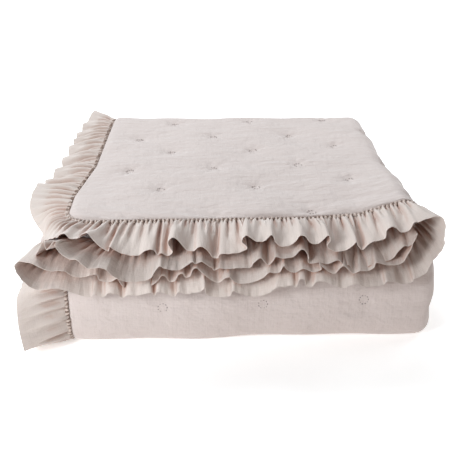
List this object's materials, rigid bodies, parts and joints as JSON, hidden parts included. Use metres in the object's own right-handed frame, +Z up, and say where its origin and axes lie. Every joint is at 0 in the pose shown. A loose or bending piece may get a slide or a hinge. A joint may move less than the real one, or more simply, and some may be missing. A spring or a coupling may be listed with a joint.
{
  "type": "folded bedspread",
  "caption": "Tacked quilt with a gathered frill on three sides, folded flat into a thick square pile with the frilled foot edge at the front.",
  "frame": {"origin": "middle of the bounding box's underside, on the surface that the pile rests on", "axes": "X across the pile (the folded width), -Y towards the front where the frilled foot edge shows, +Z up"},
  "size_m": [0.7458, 0.8128, 0.2612],
  "materials": {
    "quilted_cloth": "soft washed plain weave over thin wadding, matt, pale dusty pink",
    "frill_cloth": "washed plain weave, single thickness, matt, pale dusty pink"
  },
  "bodies": {
    "root": {"quilted_panel": "quilted_cloth", "frill": "frill_cloth"}
  },
  "joints": []
}
